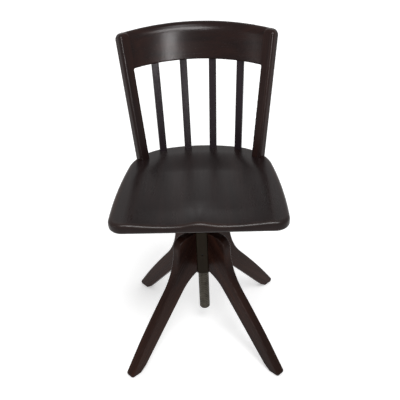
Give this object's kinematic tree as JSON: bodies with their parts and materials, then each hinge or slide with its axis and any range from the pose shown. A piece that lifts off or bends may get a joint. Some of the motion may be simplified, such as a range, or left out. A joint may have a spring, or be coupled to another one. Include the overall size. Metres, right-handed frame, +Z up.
{
  "type": "swivel desk chair",
  "caption": "Wooden desk chair with a saddled seat and slatted back that turns on a threaded iron post, raised by a wheel nut, on splayed sawn legs.",
  "frame": {"origin": "on the floor, under the middle of the whole chair's box at rest", "axes": "+Z up, the sitter faces -Y, +X to the right as seen from the front"},
  "size_m": [0.4124, 0.4581, 0.806],
  "materials": {
    "stained_wood": "dark brown stain under a satin varnish",
    "hub_wood": "olive brown stain, duller and more worn than the rest",
    "beech": "plain unfinished wood",
    "iron": "black japanned iron",
    "worn_steel": "dull oiled steel with an olive tarnish"
  },
  "bodies": {
    "base": {"leg_front_left": "stained_wood", "leg_front_right": "stained_wood", "leg_rear_left": "stained_wood", "leg_rear_right": "stained_wood", "leg_tongues": "beech", "hub_post": "hub_wood", "hub_sleeve": "iron", "hub_plate": "iron", "key_pin": "worn_steel"},
    "nut": {"height_nut": "iron"},
    "lift": {"lift_screw": "worn_steel", "thrust_washer": "worn_steel", "retaining_ring": "worn_steel"},
    "top": {"seat": "stained_wood", "seat_spider": "iron", "stile_left": "stained_wood", "stile_right": "stained_wood", "crest_rail": "stained_wood", "slat_1": "stained_wood", "slat_2": "stained_wood", "slat_3": "stained_wood", "slat_4": "stained_wood"}
  },
  "joints": [
    {"name": "nut_turn", "type": "hinge", "parent": "base", "child": "nut", "pos_m": [0, -0.0222, 0.35], "axis": [0, 0, 1], "range_deg": [-3968.5, 2154.3]},
    {"name": "lift_slide", "type": "slide", "parent": "base", "child": "lift", "axis": [0, 0, 1], "range_m": [-0.038, 0.07]},
    {"name": "seat_swivel", "type": "hinge", "parent": "lift", "child": "top", "pos_m": [0, -0.0222, 0.43], "axis": [0, 0, 1], "continuous": true}
  ],
  "couplings": [
    {"joint": "lift_slide", "follows": "nut_turn", "m_per_rad": -0.0010106}
  ]
}
